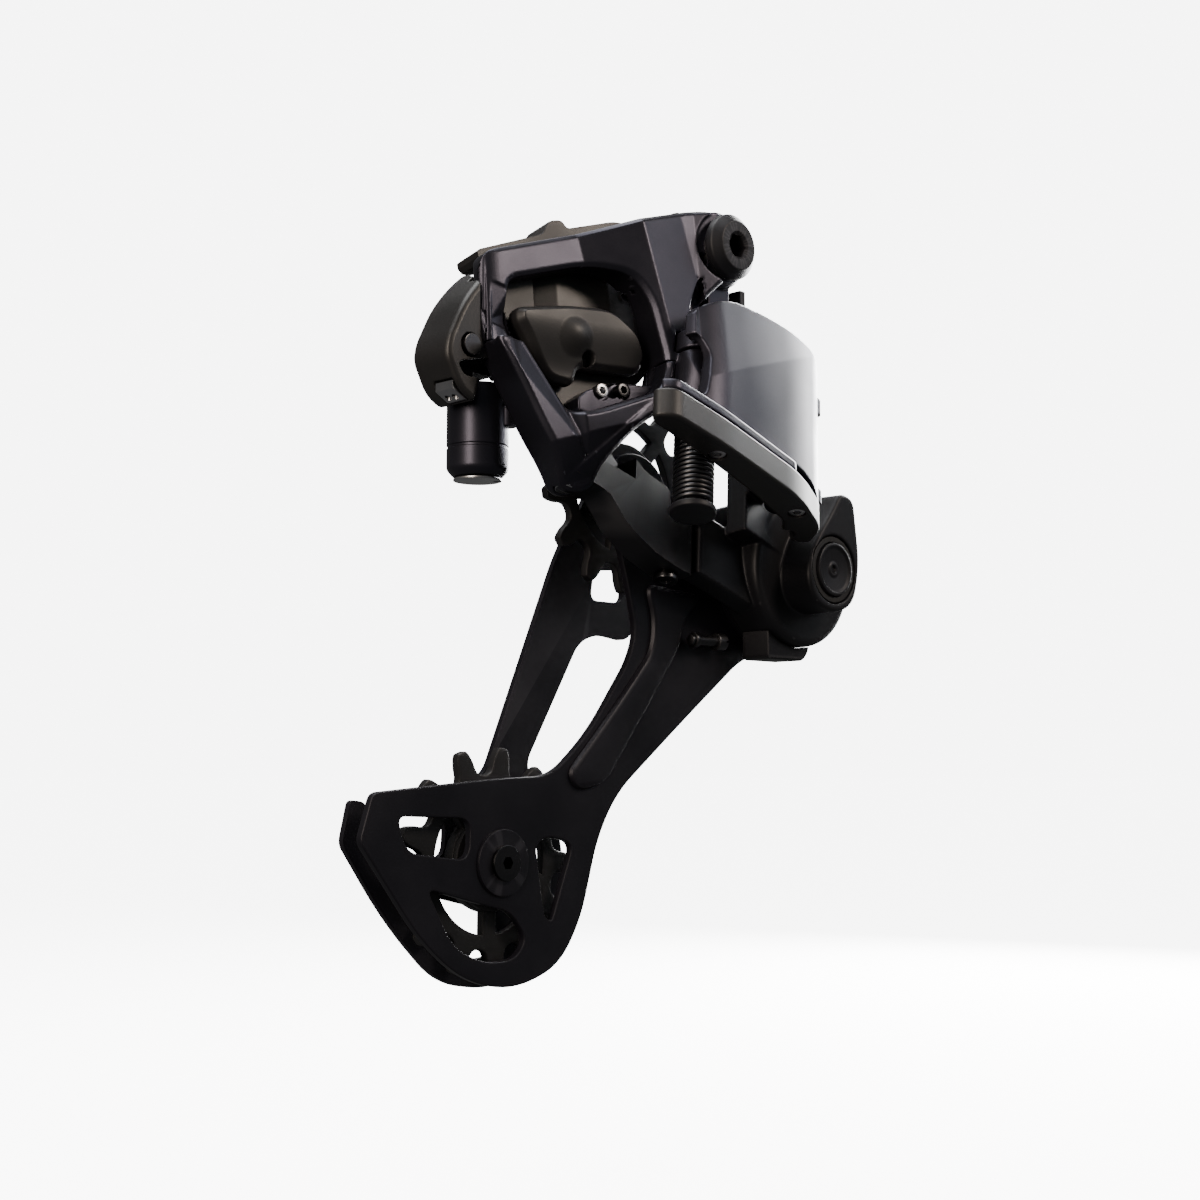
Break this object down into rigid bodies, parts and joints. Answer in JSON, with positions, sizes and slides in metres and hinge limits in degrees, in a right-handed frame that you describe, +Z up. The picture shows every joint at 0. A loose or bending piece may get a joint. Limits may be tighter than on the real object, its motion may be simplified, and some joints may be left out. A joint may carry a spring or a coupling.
{
  "type": "rear bicycle derailleur",
  "caption": "Wireless long-cage rear derailleur for a mountain bike, with a battery hoop, slanted parallelogram, sprung pulley cage and toothed pulleys.",
  "frame": {"origin": "on the hanger bolt's axis, in the face that meets the frame's hanger", "axes": "+X to the front of the bicycle, +Y inboard to the wheel along the hanger bolt, +Z up"},
  "size_m": [0.1721, 0.0675, 0.2139],
  "materials": {
    "gunmetal": "satin dark grey with a slight violet cast",
    "black_metal": "fine matt black",
    "satin_plate": "satin black anodised",
    "black_plastic": "moulded matt black",
    "pulley_plastic": "moulded black",
    "steel": "plain steel",
    "dark_steel": "blackened steel",
    "rubber": "matt"
  },
  "bodies": {
    "hanger_side": {"hanger_bolt": "black_metal", "hanger_bushing": "steel", "stopper_plate": "black_metal"},
    "upper_knuckle": {"knuckle_frame": "gunmetal", "hanger_tension_screw": "steel", "lower_guard": "gunmetal", "actuator_case": "black_plastic", "battery": "black_plastic", "gear_lid": "black_plastic", "battery_cover": "black_plastic", "screw_seat": "black_plastic", "high_limit_screw": "steel", "low_limit_screw": "dark_steel", "case_lid": "black_plastic", "top_shield": "black_plastic", "motor_can": "black_metal", "motor_end_disc": "steel", "motor_housing": "black_plastic", "charge_port": "dark_steel", "outer_upper_pin": "dark_steel", "inner_upper_pin": "steel"},
    "motor_shaft": {"motor_rotor": "dark_steel"},
    "gear_shaft": {"reduction_gear": "steel"},
    "latch": {"cover_latch": "black_plastic"},
    "button": {"function_button": "dark_steel"},
    "outer_arm": {"outer_link": "gunmetal", "skid_cover": "black_plastic", "skid_screw_rear": "steel", "skid_screw_front": "steel", "link_spring": "dark_steel", "outer_lower_pin": "dark_steel"},
    "inner_arm": {"inner_link": "black_metal"},
    "knuckle_below": {"lower_knuckle": "black_metal", "knuckle_cap": "black_metal", "cap_seal": "rubber", "stop_block": "black_metal", "inner_lower_pin": "dark_steel", "cage_spring": "steel", "clutch_drum": "dark_steel"},
    "cage": {"cage_outer_plate": "satin_plate", "cage_axle": "dark_steel", "cage_inner_plate": "satin_plate", "cage_stop_screw": "dark_steel", "guide_bolt": "dark_steel", "guide_bushing": "steel", "tension_bolt": "dark_steel", "tension_bushing": "steel"},
    "guide_wheel": {"guide_pulley": "pulley_plastic", "guide_bearing": "steel", "guide_outer_seal": "rubber", "guide_inner_seal": "rubber"},
    "tension_wheel": {"tension_pulley": "pulley_plastic", "tension_bearing": "steel", "tension_outer_seal": "rubber", "tension_inner_seal": "rubber"}
  },
  "joints": [
    {"name": "hanger_pivot", "type": "hinge", "parent": "hanger_side", "child": "upper_knuckle", "pos_m": [0, 0, 0], "axis": [0, 1, 0], "range_deg": [0, 30]},
    {"name": "outer_link_pivot", "type": "hinge", "parent": "upper_knuckle", "child": "outer_arm", "pos_m": [-0.0235, -0.022, -0.0595], "axis": [0.2599, 0.1999, 0.9447], "range_deg": [-5, 38]},
    {"name": "inner_link_pivot", "type": "hinge", "parent": "upper_knuckle", "child": "inner_arm", "pos_m": [-0.0555, -0.0055, -0.0726], "axis": [0.2599, 0.1999, 0.9447], "range_deg": [-5, 38]},
    {"name": "lower_knuckle_pivot", "type": "hinge", "parent": "outer_arm", "child": "knuckle_below", "pos_m": [0.01949, -0.018, -0.07217], "axis": [0.2599, 0.1999, 0.9447], "range_deg": [-38, 5]},
    {"name": "cage_pivot", "type": "hinge", "parent": "knuckle_below", "child": "cage", "pos_m": [0.0405, 0, -0.0882], "axis": [0, -1, 0], "range_deg": [0, 95], "stiffness_Nm_per_rad": 0.25, "springref_deg": -91.67},
    {"name": "guide_pulley_spin", "type": "hinge", "parent": "cage", "child": "guide_wheel", "pos_m": [-0.015, 0.014, -0.067], "axis": [0, 1, 0], "continuous": true},
    {"name": "tension_pulley_spin", "type": "hinge", "parent": "cage", "child": "tension_wheel", "pos_m": [-0.0643, 0.014, -0.17], "axis": [0, 1, 0], "continuous": true},
    {"name": "motor_spin", "type": "hinge", "parent": "upper_knuckle", "child": "motor_shaft", "pos_m": [-0.0684, 0.014, -0.058], "axis": [0, 0, 1], "range_deg": [-40, 304]},
    {"name": "gear_spin", "type": "hinge", "parent": "upper_knuckle", "child": "gear_shaft", "pos_m": [-0.05202, 0.00729, -0.04153], "axis": [0.1727, 0.9794, -0.1045], "range_deg": [-114, 15]},
    {"name": "cover_latch_slide", "type": "slide", "parent": "upper_knuckle", "child": "latch", "axis": [-0.0182, -0.1029, -0.9945], "range_m": [0, 0.0025]},
    {"name": "function_button_press", "type": "slide", "parent": "upper_knuckle", "child": "button", "axis": [0, 1, 0], "range_m": [0, 0.0008], "stiffness_N_per_m": 300}
  ],
  "couplings": [
    {"joint": "inner_link_pivot", "follows": "outer_link_pivot", "ratio": 1},
    {"joint": "lower_knuckle_pivot", "follows": "outer_link_pivot", "ratio": -1},
    {"joint": "motor_spin", "follows": "outer_link_pivot", "ratio": 8},
    {"joint": "gear_spin", "follows": "outer_link_pivot", "ratio": -3}
  ]
}
